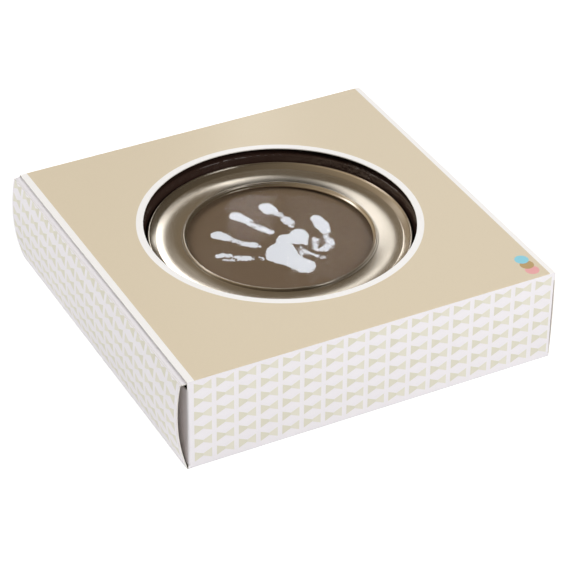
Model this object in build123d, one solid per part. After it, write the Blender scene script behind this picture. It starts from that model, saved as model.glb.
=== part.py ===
from build123d import *
import os
from math import cos, pi, sin

# A baby's handprint frame in its retail carton: a folded board box with a round window,
# a thermoformed insert, the round frame in its well, a paint pot and spare papers.
# Millimetres. The origin is the middle of the carton's base: X runs along the front
# edge to the right, Y to the back and Z up.

# Carton
carton_width = 230.0
carton_depth = 231.0
carton_height = 59.0
board = 0.6
fold_radius = 1.2
window_lap = 0.1
window_shift_x = 0.8
window_shift_y = 1.6
glue_flap_height = 16.0
glue_flap_taper = 6.0

# End closures: a flap with a tuck tab at each end. The left one has sprung outwards and
# bows, the right one is shut flat.
crease_offset = 0.4
left_lean = 3.5
left_bow = 3.6
right_lean = 0.2
right_bow = 0.5
flap_side_gap = 0.3
tab_reach = 13.0
tab_corner = 10.0
tab_gap = 0.6
tab_crease_gap = 0.7
crease_gap = 0.2

# Dust flaps
dust_length = 62.0
dust_foot_gap = 3.0
dust_top_gap = 5.5
dust_taper = 5.0
dust_corner = 5.0

# Insert tray
sheet = 0.8
deck_drop = 4.6
tray_gap = 0.8
tray_draft_degrees = 3.0
tray_corner = 8.0
deck_edge = 2.4
well_flare = 5.4
well_lip = 1.6
frame_play = 0.6
seat_gap = 0.2
recess_depth = 3.0
recess_play = 1.0

# Frame moulding
frame_radius = 73.6
frame_height = 15.0
frame_drop = 6.9
rim_width = 1.8
side_wall = 3.4
back_ledge = 10.0
sight_overlap = 6.0
sight_edge = 1.0
sight_drop = 4.8
cove_sag = 2.6
bead_setback = 1.9
bead_width = 1.4
bead_drop = 2.3
bead_groove = 0.6
foot_chamfer = 0.8

# What the frame holds
layer_gap = 0.05
edge_play = 0.6
pane = 1.5
paint_coat = 0.1
card = 0.4
backing = 2.5

# Turn buttons and their screws
button_count = 3
button_setback = 4.8
button_width = 8.0
button_reach = 9.0
button_thickness = 1.0
button_gap = 0.2
screw_radius = 1.2
screw_play = 0.2
screw_bite = 3.4
screw_head_radius = 2.6
screw_head_height = 1.4
screw_slot = 0.6

# Sawtooth hanger and its nails
hanger_length = 44.0
hanger_width = 8.0
hanger_sheet = 0.7
hanger_rise = 1.6
hanger_foot = 9.0
hanger_ramp = 2.0
hanger_setback = 21.6
hanger_teeth = 7
hanger_tooth = 1.6
nail_radius = 0.7
nail_play = 0.05
nail_bite = 2.0
nail_head_radius = 1.5
nail_head_height = 0.5

# Handprint: its length from heel to middle fingertip
hand_length = 74.0
hand_turn_degrees = 14.0
hand_shift_x = -1.0
hand_shift_y = -10.0

# Spare papers
paper = 0.3
papers_a_colour = 2
paper_gap = 0.05

# Paint pot
pot_radius = 14.0
pot_wall = 1.0
pot_floor = 1.2
pot_shoulder = 14.2
neck_inset = 1.6
neck_height = 4.7
paint_headroom = 0.6
liner = 0.8
lid_wall = 2.3
lid_top = 1.2
lid_play = 0.3
lid_sink = 0.9
flute_count = 30
flute_radius = 0.7
pot_inset = 30.0
pocket_play = 1.4

# How far a cut runs past what it cuts
cut_over = 5.0

# Worked out: carton
half_width = carton_width / 2
half_depth = carton_depth / 2
tab_middle = carton_height - board - tab_gap - board / 2
flap_half = half_depth - board - flap_side_gap
dust_top = carton_height - dust_top_gap

# Worked out: frame and insert heights
rim_top = carton_height - frame_drop
frame_base = rim_top - frame_height
sight_level = rim_top - sight_drop
pane_top = sight_level - layer_gap
pane_base = pane_top - pane
card_top = pane_base - layer_gap - paint_coat
card_base = card_top - card
backing_top = card_base - layer_gap
ledge = backing_top - backing
button_top = ledge - button_gap
button_base = button_top - button_thickness
deck = carton_height - deck_drop
seat = frame_base - seat_gap
recess_floor = seat - recess_depth
centre = Location((window_shift_x, window_shift_y, 0))

# Worked out: frame and insert radii
rebate_radius = frame_radius - side_wall - back_ledge
sight_radius = rebate_radius - sight_overlap
bead_radius = sight_radius + bead_setback
button_pivot_radius = rebate_radius + button_setback
disc_radius = rebate_radius - edge_play
hanger_height = disc_radius - hanger_setback
recess_radius = disc_radius + recess_play
well_seat_radius = frame_radius + frame_play
well_mouth_radius = well_seat_radius + well_flare
window_radius = well_mouth_radius - window_lap

# Worked out: paint pot
neck_radius = pot_radius - neck_inset
lid_radius = neck_radius + lid_play + lid_wall
pot_height = pot_shoulder + neck_height + liner + 2 * layer_gap + lid_top
pot_base = deck - lid_sink - pot_height
neck_top = pot_base + pot_shoulder + neck_height
liner_base = neck_top + layer_gap
lid_under = liner_base + liner + layer_gap
pot_centre = Location((half_width - pot_inset, half_depth - pot_inset, 0))


def closed(*lines):
    """A face on XY inside a chain of lines."""
    return make_face(Curve() + list(lines))


def turned(profile):
    """A solid of revolution about Z from a face drawn as radius and height."""
    return revolve(Plane.XZ * profile, Axis.Z)


def disc(radius, low, high):
    """A flat round plate between two heights."""
    return Pos(0, 0, low) * extrude(Circle(radius), high - low)


def save(name, shape):
    """Write one named piece."""
    export_step(shape, "parts/" + name + ".step")


# Carton sleeve: one rounded tube of board, parted at the middle of each fold
def sleeve_ring():
    outer = RectangleRounded(carton_depth, carton_height, fold_radius)
    inner = RectangleRounded(carton_depth - 2 * board, carton_height - 2 * board, fold_radius - board)
    return Pos(0, carton_height / 2) * (outer - inner)


def sleeve_panel(corner_a, corner_b):
    """The part of the sleeve between two of its folds, given as signs of Y and of height."""
    outline = []
    for share, corner in ((1, corner_a), (1, corner_b), (0, corner_b), (0, corner_a)):
        y = corner[0] * (half_depth - fold_radius + share * fold_radius)
        z = corner[1] * (carton_height / 2 - fold_radius + share * fold_radius)
        outline.append((y, z + carton_height / 2))
    wedge = make_face(Polyline(*outline, close=True))
    section = Plane.YZ * (sleeve_ring() & wedge)
    return extrude(section, half_width, both=True)


def window_cut():
    return centre * disc(window_radius, carton_height - cut_over, carton_height + cut_over)


def crease_notches():
    """Where the dust flaps' folds take over from the ends of the front and back panels."""
    height = dust_top - dust_foot_gap + 2 * crease_gap
    middle = (dust_top + dust_foot_gap) / 2
    notches = []
    for side in (-1, 1):
        box = Box(2 * fold_radius, carton_depth + cut_over, height)
        notches.append(Pos(side * half_width, 0, middle) * box)
    return notches


def bottom_panel():
    whole = sleeve_panel((-1, -1), (1, -1))
    reach = half_width + crease_offset - board / 2 - crease_gap
    return whole & Box(2 * reach, 2 * carton_depth, 2 * carton_height)


def glue_flap():
    """A strip folded up from the bottom panel and glued inside the back panel."""
    low = fold_radius
    high = low + glue_flap_height
    outline = Polyline(
        (-half_width + fold_radius, low),
        (half_width - fold_radius, low),
        (half_width - glue_flap_taper, high),
        (-half_width + glue_flap_taper, high),
        close=True,
    )
    strip = extrude(Plane.XZ * make_face(outline), board)
    return Pos(0, half_depth - board, 0) * strip


# Dust flap: the fold round the corner and a tapered flap with rounded corners
def dust_flap():
    arc_middle = (-half_width + fold_radius, -half_depth + fold_radius)
    ring = Circle(fold_radius) - Circle(fold_radius - board)
    quarter = Pos(-fold_radius / 2, -fold_radius / 2) * Rectangle(fold_radius, fold_radius)
    fold = Pos(*arc_middle) * (ring & quarter)
    run = dust_length - fold_radius
    strip = Pos(-half_width + board / 2, -half_depth + fold_radius + run / 2) * Rectangle(board, run)
    solid = extrude(Pos(0, 0, dust_foot_gap) * (fold + strip), dust_top - dust_foot_gap)
    start = -half_depth - board
    bend = -half_depth + fold_radius
    end = -half_depth + dust_length
    outline = FilletPolyline(
        (start, dust_foot_gap),
        (bend, dust_foot_gap),
        (end, dust_foot_gap + dust_taper),
        (end, dust_top - dust_taper),
        (bend, dust_top),
        (start, dust_top),
        radius=(fold_radius, dust_corner, dust_corner, fold_radius),
    )
    face = closed(outline, Line(outline @ 1, outline @ 0))
    return solid & extrude(Plane.YZ * face, carton_width, both=True)


# End closure, drawn on the left: the flap's board follows a shallow arc from the bottom
# crease to the top one, where the tab turns in under the top panel
def end_flap(lean, bow):
    foot = (-half_width - crease_offset, board / 2)
    top = (-half_width - crease_offset - lean, tab_middle)
    arc = SagittaArc(foot, top, bow)
    return extrude(Plane.XZ * SlotArc(arc, board), flap_half, both=True)


def tuck_tab(lean):
    root = -half_width - crease_offset - lean + board / 2 + tab_crease_gap
    tip = -half_width + tab_reach
    outline = FilletPolyline(
        (root, -flap_half),
        (tip, -flap_half),
        (tip, flap_half),
        (root, flap_half),
        radius=(tab_corner, tab_corner),
    )
    face = closed(outline, Line(outline @ 1, outline @ 0))
    return Pos(0, 0, tab_middle - board / 2) * extrude(face, board)


# Insert tray: the outside form less the same form grown inwards by the sheet
def tray_block(inset):
    width = carton_width - 2 * (board + tray_gap + inset)
    depth = carton_depth - 2 * (2 * board + tray_gap + inset)
    base = Pos(0, 0, board) * RectangleRounded(width, depth, tray_corner - inset)
    block = extrude(base, deck - board - inset, taper=tray_draft_degrees)
    rim_edges = block.faces().sort_by(Axis.Z)[-1].edges()
    return fillet(rim_edges, deck_edge - inset)


def well_cavity(inset):
    """Paper recess, frame seat, drafted wall and rolled lip, about the well's axis."""
    lip_radius = well_mouth_radius + well_lip
    lip_height = deck - well_lip
    roll = well_lip - inset
    over = deck + cut_over
    lip = ThreePointArc(
        (lip_radius - roll, lip_height),
        (lip_radius - roll * cos(pi / 4), lip_height + roll * sin(pi / 4)),
        (lip_radius, lip_height + roll),
    )
    wall = Polyline(
        (0, over),
        (0, recess_floor - inset),
        (recess_radius + inset, recess_floor - inset),
        (recess_radius + inset, seat - inset),
        (well_seat_radius + inset, seat - inset),
        (lip_radius - roll, lip_height),
    )
    top = Polyline((lip_radius, lip_height + roll), (lip_radius, over), (0, over))
    return centre * turned(closed(wall, lip, top))


def pocket_cavity(inset):
    """The pocket for the paint pot, with the same rolled lip."""
    mouth = lid_radius + pocket_play
    foot = pot_radius + pocket_play / 2
    floor = deck - lid_sink - pot_height
    roll = well_lip - inset
    over = deck + cut_over
    lip_height = deck - well_lip
    lip = ThreePointArc(
        (mouth + inset, lip_height),
        (mouth + well_lip - roll * cos(pi / 4), lip_height + roll * sin(pi / 4)),
        (mouth + well_lip, lip_height + roll),
    )
    wall = Polyline((0, over), (0, floor - inset), (foot + inset, floor - inset), (mouth + inset, lip_height))
    top = Polyline((mouth + well_lip, lip_height + roll), (mouth + well_lip, over), (0, over))
    return pot_centre * turned(closed(wall, lip, top))


def insert_tray():
    outside = tray_block(0) - well_cavity(0) - pocket_cavity(0)
    inside = tray_block(sheet) - well_cavity(sheet) - pocket_cavity(sheet)
    return outside - inside


# Frame moulding: rim, cove, groove, bead, sight edge, rebate and back ring, turned in one
def frame_moulding():
    rim = rim_width / 2
    bead = bead_width / 2
    bead_top = rim_top - bead_drop
    shoulder = bead_top - bead
    rim_arc = ThreePointArc(
        (frame_radius, rim_top - rim),
        (frame_radius - rim, rim_top),
        (frame_radius - rim_width, rim_top - rim),
    )
    cove = SagittaArc(
        (frame_radius - rim_width, rim_top - rim),
        (bead_radius + bead + bead_groove, shoulder),
        cove_sag,
    )
    groove = Line((bead_radius + bead + bead_groove, shoulder), (bead_radius + bead, shoulder))
    bead_arc = ThreePointArc(
        (bead_radius + bead, shoulder),
        (bead_radius, bead_top),
        (bead_radius - bead, shoulder),
    )
    back = Polyline(
        (bead_radius - bead, shoulder),
        (sight_radius, sight_level + sight_edge),
        (sight_radius, sight_level),
        (rebate_radius, sight_level),
        (rebate_radius, ledge),
        (frame_radius - side_wall, ledge),
        (frame_radius - side_wall, frame_base),
        (frame_radius - foot_chamfer, frame_base),
        (frame_radius, frame_base + foot_chamfer),
        (frame_radius, rim_top - rim),
    )
    ring = turned(closed(rim_arc, cove, groove, bead_arc, back))
    pilot = disc(screw_radius + nail_play, ledge - cut_over, ledge + screw_bite + nail_play)
    for angle in button_angles():
        ring -= Rot(0, 0, angle) * Pos(button_pivot_radius, 0, 0) * pilot
    return centre * ring


def button_angles():
    """The first button is at the frame's foot, the others evenly round."""
    return [-90 + 360 * number / button_count for number in range(button_count)]


def turn_button():
    """A flat steel finger that points at the frame's centre at rest."""
    outline = Pos(-button_reach / 2, 0) * SlotCenterToCenter(button_reach, button_width)
    hole = Circle(screw_radius + screw_play)
    plate = extrude(Pos(0, 0, button_base) * (outline - hole), button_thickness)
    plate = fillet(plate.edges().filter_by(GeomType.LINE).group_by(Axis.Z)[0], button_thickness / 4)
    return Pos(button_pivot_radius, 0, 0) * plate


def button_screw():
    """A slotted pan head under the button and a shank up into the moulding."""
    shank = disc(screw_radius, button_base - button_gap, ledge + screw_bite)
    low = button_base - button_gap - screw_head_height
    head = disc(screw_head_radius, low, button_base - button_gap)
    head = fillet(head.edges().sort_by(Axis.Z)[0], screw_head_height / 2)
    slot = Pos(0, 0, low) * Box(2 * screw_head_radius, screw_slot, screw_slot)
    return Pos(button_pivot_radius, 0, 0) * (head + shank - slot)


# Sawtooth hanger: a bent strip with teeth along the lower edge of its raised middle
def hanger_plate():
    half = hanger_length / 2
    foot = half - hanger_foot
    bridge = foot - hanger_ramp
    top = ledge - layer_gap
    low = top - hanger_rise
    upper = [(-half, top), (-foot, top), (-bridge, low), (bridge, low), (foot, top), (half, top)]
    lower = [(x, z - hanger_sheet) for x, z in reversed(upper)]
    strip = extrude(Plane.XZ * make_face(Polyline(*upper, *lower, close=True)), hanger_width / 2, both=True)
    pitch = 2 * bridge / hanger_teeth
    for number in range(hanger_teeth):
        middle = -bridge + pitch * (number + 1 / 2)
        notch = Polyline(
            (middle - pitch / 2, -hanger_width / 2),
            (middle, -hanger_width / 2 + hanger_tooth),
            (middle + pitch / 2, -hanger_width / 2),
            close=True,
        )
        strip -= Pos(0, 0, low - hanger_rise) * extrude(make_face(notch), 2 * hanger_rise)
    for x in nail_places():
        strip -= Pos(x, 0, 0) * disc(nail_radius + nail_play, top - cut_over, top + cut_over)
    return centre * Pos(0, hanger_height, 0) * strip


def nail_places():
    place = hanger_length / 2 - hanger_foot / 2
    return [-place, place]


def hanger_nail():
    under = ledge - layer_gap - hanger_sheet
    head = disc(nail_head_radius, under - nail_head_height, under)
    return head + disc(nail_radius, under, ledge + nail_bite)


def backing_board():
    board_disc = disc(disc_radius, ledge, backing_top)
    for x in nail_places():
        hole = disc(nail_radius + nail_play, ledge - cut_over, ledge + nail_bite + nail_play)
        board_disc -= Pos(x, hanger_height, 0) * hole
    return centre * board_disc


# Handprint: the palm and the finger pads as thin coats of paint, in shares of the hand's
# length, with the fingers upwards and the thumb to the right
palm_shares = [
    (-0.218, -0.015),
    (-0.122, 0.092),
    (-0.012, 0.114),
    (0.091, 0.174),
    (0.154, 0.147),
    (0.246, 0.159),
    (0.282, 0.083),
    (0.214, -0.025),
    (0.153, -0.069),
    (0.083, -0.004),
    (0.026, -0.118),
    (0.043, -0.275),
    (-0.036, -0.367),
    (-0.118, -0.361),
    (-0.156, -0.240),
    (-0.193, -0.105),
]
# A pad's two end points, then its radius at each: little, ring, middle and first finger,
# a tip pad and a root pad each, then the thumb's tip, its mound and the fold beside it
pad_shares = [
    (-0.461, 0.247, -0.416, 0.173, 0.043, 0.041),
    (-0.370, 0.134, -0.320, 0.087, 0.038, 0.035),
    (-0.288, 0.483, -0.266, 0.414, 0.058, 0.049),
    (-0.239, 0.324, -0.169, 0.216, 0.024, 0.041),
    (0.001, 0.592, 0.034, 0.472, 0.065, 0.038),
    (0.034, 0.388, 0.049, 0.280, 0.027, 0.039),
    (0.271, 0.555, 0.263, 0.485, 0.064, 0.058),
    (0.273, 0.315, 0.260, 0.262, 0.047, 0.045),
    (0.454, 0.144, 0.405, 0.017, 0.059, 0.057),
    (0.318, -0.121, 0.208, -0.170, 0.043, 0.049),
    (0.257, -0.042, 0.194, -0.125, 0.027, 0.032),
]


def handprint():
    palm_line = Spline(*[(x * hand_length, y * hand_length) for x, y in palm_shares], periodic=True)
    outline = make_face(palm_line)
    for tip_x, tip_y, root_x, root_y, tip_radius, root_radius in pad_shares:
        tip = Pos(tip_x * hand_length, tip_y * hand_length) * Circle(tip_radius * hand_length)
        root = Pos(root_x * hand_length, root_y * hand_length) * Circle(root_radius * hand_length)
        outline += make_hull(tip.edges() + root.edges())
    coat = extrude(outline, paint_coat)
    place = Pos(hand_shift_x, hand_shift_y, card_top) * Rot(0, 0, hand_turn_degrees)
    return centre * place * coat


# Spare papers lie in the recess under the frame, two of each colour
def paper_pair(layer):
    pair = []
    for number in range(papers_a_colour):
        low = recess_floor + paper_gap + (layer * papers_a_colour + number) * (paper + paper_gap)
        pair.append(centre * disc(disc_radius, low, low + paper))
    return pair


# Paint pot with a screw lid, in its pocket at the back right corner of the tray
def paint_pot():
    shoulder = pot_base + pot_shoulder
    outline = Polyline(
        (0, pot_base),
        (pot_radius - pot_wall / 2, pot_base),
        (pot_radius, pot_base + pot_wall / 2),
        (pot_radius, shoulder),
        (neck_radius, shoulder),
        (neck_radius, neck_top),
        (neck_radius - pot_wall, neck_top),
        (neck_radius - pot_wall, shoulder - pot_wall),
        (pot_radius - pot_wall, shoulder - pot_wall),
        (pot_radius - pot_wall, pot_base + pot_floor),
        (0, pot_base + pot_floor),
        close=True,
    )
    return pot_centre * turned(make_face(outline))


def white_paint():
    low = pot_base + pot_floor + layer_gap
    high = pot_base + pot_shoulder - pot_wall - paint_headroom
    return pot_centre * disc(pot_radius - pot_wall - layer_gap, low, high)


def lid_liner():
    return pot_centre * disc(neck_radius - layer_gap, liner_base, liner_base + liner)


def paint_lid():
    skirt = pot_base + pot_shoulder + lid_play
    top = lid_under + lid_top
    shell = disc(lid_radius, skirt, top)
    shell = fillet(shell.edges().sort_by(Axis.Z)[-1], lid_top / 2)
    shell -= disc(neck_radius + lid_play, skirt - cut_over, lid_under)
    flute = disc(flute_radius, skirt - cut_over, lid_under)
    for number in range(flute_count):
        angle = 360 * number / flute_count
        shell -= Rot(0, 0, angle) * Pos(lid_radius + flute_radius / 2, 0, 0) * flute
    return pot_centre * shell


def main():
    os.makedirs("parts", exist_ok=True)
    front = sleeve_panel((-1, 1), (-1, -1))
    back = sleeve_panel((1, -1), (1, 1))
    for notch in crease_notches():
        front -= notch
        back -= notch
    save("top_panel", sleeve_panel((-1, 1), (1, 1)) - window_cut())
    save("front_panel", front)
    save("bottom_panel", bottom_panel())
    save("back_panel", back)
    save("glue_flap", glue_flap())
    left_front = dust_flap()
    right_front = mirror(left_front, about=Plane.YZ)
    save("dust_flap_left_front", left_front)
    save("dust_flap_left_back", mirror(left_front, about=Plane.XZ))
    save("dust_flap_right_front", right_front)
    save("dust_flap_right_back", mirror(right_front, about=Plane.XZ))
    save("left_end_flap", end_flap(left_lean, left_bow))
    save("right_end_flap", mirror(end_flap(right_lean, right_bow), about=Plane.YZ))
    save("left_tuck_tab", tuck_tab(left_lean))
    save("right_tuck_tab", mirror(tuck_tab(right_lean), about=Plane.YZ))
    save("insert_tray", insert_tray())
    save("frame_moulding", frame_moulding())
    save("glazing_pane", centre * disc(disc_radius, pane_base, pane_top))
    save("display_card", centre * disc(disc_radius, card_base, card_top))
    save("handprint", handprint())
    save("backing_board", backing_board())
    screws = []
    for number, angle in enumerate(button_angles(), start=1):
        save("turn_button_" + str(number), centre * Rot(0, 0, angle) * turn_button())
        screws.append(centre * Rot(0, 0, angle) * button_screw())
    save("button_screws", Compound(screws))
    save("hanger_plate", hanger_plate())
    nails = [centre * Pos(x, hanger_height, 0) * hanger_nail() for x in nail_places()]
    save("hanger_nails", Compound(nails))
    for layer, colour in enumerate(("pink", "tan", "blue")):
        save(colour + "_papers", Compound(paper_pair(layer)))
    save("paint_pot", paint_pot())
    save("white_paint", white_paint())
    save("lid_liner", lid_liner())
    save("paint_lid", paint_lid())


main()
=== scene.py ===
"""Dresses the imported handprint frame: its printed carton, insert, frame and paint kit."""
import math

import bpy
import numpy as np
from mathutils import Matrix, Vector, noise


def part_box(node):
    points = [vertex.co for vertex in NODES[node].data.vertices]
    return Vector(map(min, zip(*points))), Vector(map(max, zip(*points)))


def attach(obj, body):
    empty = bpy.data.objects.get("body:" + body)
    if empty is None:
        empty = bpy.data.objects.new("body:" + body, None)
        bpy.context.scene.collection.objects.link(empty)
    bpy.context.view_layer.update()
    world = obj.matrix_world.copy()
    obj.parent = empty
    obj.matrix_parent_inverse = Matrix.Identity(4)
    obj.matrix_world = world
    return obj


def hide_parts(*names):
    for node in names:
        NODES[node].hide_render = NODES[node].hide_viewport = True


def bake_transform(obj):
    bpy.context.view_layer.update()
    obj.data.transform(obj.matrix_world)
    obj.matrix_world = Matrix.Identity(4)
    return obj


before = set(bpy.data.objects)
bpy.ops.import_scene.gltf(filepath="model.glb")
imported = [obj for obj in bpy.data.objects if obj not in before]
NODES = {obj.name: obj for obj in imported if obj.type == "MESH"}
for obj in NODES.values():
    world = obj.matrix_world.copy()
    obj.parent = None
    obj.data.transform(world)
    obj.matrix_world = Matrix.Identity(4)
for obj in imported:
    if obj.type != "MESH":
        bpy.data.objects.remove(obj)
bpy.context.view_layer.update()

MM = 0.001

# The well, the frame and everything round in it turn about one upright axis
RING_LOW, RING_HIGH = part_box("frame_moulding")
WELL = (RING_LOW + RING_HIGH) / 2
CARD_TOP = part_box("display_card")[1].z
PRINT_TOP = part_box("handprint")[1].z
LEFT_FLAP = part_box("left_end_flap")
LEFT_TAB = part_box("left_tuck_tab")
RIGHT_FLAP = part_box("right_end_flap")
RIGHT_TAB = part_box("right_tuck_tab")
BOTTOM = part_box("bottom_panel")

bl_info = {
    "name": "Handprint frame in its carton",
    "version": (1, 0, 0),
    "blender": (4, 5, 0),
    "location": "3D View > Sidebar > Handprint frame",
    "description": "Dresses the handprint frame, its insert, paint kit and printed carton",
    "category": "Object",
}


def linear(code):
    """An sRGB hex colour as linear red, green, blue and a full alpha."""
    parts = [int(code[place:place + 2], 16) / 255 for place in (1, 3, 5)]
    return tuple(
        part / 12.92 if part <= 0.04045 else ((part + 0.055) / 1.055) ** 2.4 for part in parts
    ) + (1.0,)


def colour(name, description, code):
    """A colour property with an sRGB hex default."""
    return bpy.props.FloatVectorProperty(
        name=name, description=description, subtype="COLOR", size=4, min=0, max=1,
        default=linear(code),
    )


def length(name, description, millimetres):
    """A length property with its default in millimetres."""
    return bpy.props.FloatProperty(
        name=name, description=description, subtype="DISTANCE", unit="LENGTH",
        default=millimetres * MM,
    )


def amount(name, description, value, most, unit="NONE"):
    """A number property from nought to its most; up to one it is a share."""
    return bpy.props.FloatProperty(
        name=name, description=description, default=value, min=0, max=most, unit=unit,
        subtype="FACTOR" if most == 1 else "NONE",
    )


def add(tree, kind, inputs=None, **settings):
    """Adds one node: settings are its attributes, and inputs its sockets' values or what
    feeds them, which is a socket, or a node by its first output in use."""
    node = tree.nodes.new(kind)
    for name, value in settings.items():
        setattr(node, name, value)
    for key, value in (inputs or {}).items():
        if isinstance(value, bpy.types.Node):
            value = next(output for output in value.outputs if output.enabled)
        if isinstance(value, bpy.types.NodeSocket):
            tree.links.new(value, node.inputs[key])
        else:
            node.inputs[key].default_value = value
    return node


def start_material(name):
    """A new material with an empty tree, and its place in millimetres and its own normal."""
    material = bpy.data.materials.new(name)
    material.use_nodes = True
    tree = material.node_tree
    tree.nodes.clear()
    place = add(tree, "ShaderNodeTexCoord").outputs
    in_mm = {0: place["Object"], "Scale": 1 / MM}
    in_mm = add(tree, "ShaderNodeVectorMath", in_mm, operation="SCALE")
    return material, tree, in_mm, place["Normal"]


def end_material(material, surface):
    """Ends a material with a shader, or with a principled one from these inputs."""
    tree = material.node_tree
    if isinstance(surface, dict):
        surface = add(tree, "ShaderNodeBsdfPrincipled", surface)
    add(tree, "ShaderNodeOutputMaterial", {"Surface": surface})
    return material


def grained(tree, texture, level, relief, spread=(0.0, 1.0)):
    """One noise as a level between two values, and as a relief of a strength and a height
    in millimetres. The spread is the part of the noise that the level follows."""
    texture = add(tree, "ShaderNodeTexNoise", texture)
    ends = {0: texture, 1: spread[0], 2: spread[1], 3: level[0], 4: level[1]}
    bumps = {"Height": texture, "Strength": relief[0], "Distance": relief[1] * MM}
    return add(tree, "ShaderNodeMapRange", ends), add(tree, "ShaderNodeBump", bumps)


def dress(material, *names):
    """Gives CAD nodes one material."""
    for name in names:
        mesh = NODES[name].data
        mesh.materials.clear()
        mesh.materials.append(material)


def put(name, data):
    """A new object of this data, linked to the scene at the origin."""
    thing = bpy.data.objects.new(name, data)
    bpy.context.scene.collection.objects.link(thing)
    return thing


def new_piece(name, points, faces, material, body, smooth_angle=None):
    """A mesh from points in metres with a material, riding on a body where one is given."""
    mesh = bpy.data.meshes.new(name)
    mesh.from_pydata([tuple(p) for p in points], [], faces)
    mesh.update()
    piece = put(name, mesh)
    finish_piece(piece, material, body, smooth_angle)
    return piece


def finish_piece(piece, material, body, smooth_angle=None):
    """Sets a piece's material, shading and body."""
    piece.data.materials.clear()
    piece.data.materials.append(material)
    if smooth_angle is not None:
        piece.data.shade_smooth()
        piece.data.set_sharp_from_angle(angle=math.radians(smooth_angle))
    if body:
        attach(piece, body)


# Sizes and colours that a user would change

class CartonSettings(bpy.types.PropertyGroup):
    field: colour("Beige field", "Printed beige of the carton's top", "#DFD0B5")
    paper_white: colour("Board white", "Clay-coated white of the board's printed side", "#EDE9EC")
    # Painted sheen: the top's printed white is the board's white painted brighter, standing in for
    # the sheen the face-up top catches
    ring_white_painted_sheen: colour("Ring white", "Bright white of the ring and borders on the top", "#FBF8F5")
    motif: colour("Bow-tie ink", "Pale khaki of the bow-tie pattern", "#DAD6C3")
    motif_light: colour("Bow-tie light ink", "Lighter half of each bow-tie", "#E0DCCC")
    # Painted shade: the grey painted along the sides' bottom creases, where the board rolls under
    # out of the light
    fold: colour("Fold", "Shaded white along the bottom creases", "#B4AFB0")
    core: colour("Board core", "Cut edges of the board", "#E4E0D8")
    reverse: colour("Board reverse", "Uncoated grey side of the board", "#D8CFC6")
    dot_blue: colour("Blue dot", "First of the three colour dots", "#8FD3E3")
    dot_tan: colour("Tan dot", "Second of the three colour dots", "#BE9F6C")
    dot_pink: colour("Pink dot", "Third of the three colour dots", "#EDA9A8")
    left_border: length("Left border", "White border at the top's left end", 4.2)
    right_border: length("Right border", "White border at the top's right end", 3.2)
    window_ring: length("Ring radius", "Outside radius of the white ring round the window", 83.6)
    dot_radius: length("Dot radius", "Radius of each colour dot", 4.1)
    column_pitch: length("Column pitch", "Distance between the bow-tie columns", 13.35)
    column_width: length("Column width", "Width of a bow-tie", 10.5)
    row_pitch: length("Row pitch", "Distance between the bow-ties in a column", 9.25)
    bow_height: length("Bow height", "Height of a bow-tie at its ends", 6.4)
    knot_height: length("Knot height", "Height of a bow-tie at its middle", 1.5)


class MouldingSettings(bpy.types.PropertyGroup):
    metal: colour("Champagne metal", "Reflection colour of the satin metal", "#CFC8BC")
    roughness: amount("Satin", "Roughness of the satin metal", 0.17, 1)
    segments: bpy.props.IntProperty(
        name="Segments", description="Steps round the moulding", default=288, min=24, max=512
    )
    rim_radius: length("Rim radius", "Outside radius of the rolled rim", 77.2)
    rim: length("Rim width", "Width of the rolled rim", 1.6)
    rim_drop: length("Rim drop", "Height of the solid's top over the rim's crest", 1.0)
    flare: length("Flare", "Height over which the wall widens out to the rim", 5.2)
    cove_start: length("Cove start", "Radius at which the cove starts", 71.9)
    cove_drop: length("Cove drop", "Height of the solid's top over the cove's outer edge", 3.25)
    cove_end: length("Cove end", "Radius at which the cove ends", 57.5)
    cove_fall: length("Cove fall", "Height of the cove's outer edge over its inner one", 0.35)
    cove_sag: length("Cove depth", "How far the cove sinks under its chord", 0.6)
    bead_radius: length("Bead radius", "Radius of the bead's crest", 56.1)
    bead_width: length("Bead width", "Width of the bead", 1.4)
    bead_drop: length("Bead drop", "Height of the rim's crest over the bead's", 2.3)
    sight_radius: length("Sight radius", "Radius of the opening", 54.2)
    sight_drop: length("Sight drop", "Height of the rim's crest over the rebate", 4.8)
    sight_edge: length("Sight edge", "Thickness of the sight edge", 1.0)
    rebate_radius: length("Rebate radius", "Radius of the rebate for the picture", 60.2)
    ledge_drop: length("Ledge drop", "Height of the rim's crest over the back ledge", 9.45)
    back_radius: length("Back radius", "Inside radius of the back skirt", 70.2)
    foot_chamfer: length("Foot chamfer", "Chamfer at the outside of the foot", 0.8)
    edge_round: length("Edge round", "Softening of the moulding's corners", 0.2)


class PictureSettings(bpy.types.PropertyGroup):
    card: colour("Card", "Brown of the display card", "#6B5946")
    paint: colour("Print paint", "White of the handprint", "#E3E6EC")
    paint_thin: colour("Thin paint", "Where the handprint's paint is thin", "#BDB6B2")
    backing: colour("Hardboard", "Brown of the backing board", "#7A5A3C")
    cell: length("Print cell", "Grid step of the handprint's mesh", 0.34)
    ragged: length("Ragged edge", "How far the print's edge wanders", 0.55)
    glass_share: amount("Pane's gloss", "Share of the pane that is plastic, not open", 0.02, 1)


class KitSettings(bpy.types.PropertyGroup):
    insert: colour("Insert", "Dark brown of the thermoformed insert", "#2E1F1A")
    blue: colour("Blue paper", "Blue of two spare papers", "#8CCDDC")
    tan: colour("Tan paper", "Tan of two spare papers", "#B99C72")
    pink: colour("Pink paper", "Pink of two spare papers", "#E6A5A3")
    pot: colour("Pot", "Natural polypropylene of the paint pot", "#E7E6DF")
    lid: colour("Lid", "White of the screw lid", "#EFEFEC")
    foam: colour("Liner", "Foam liner in the lid", "#DAD9D2")


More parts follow.
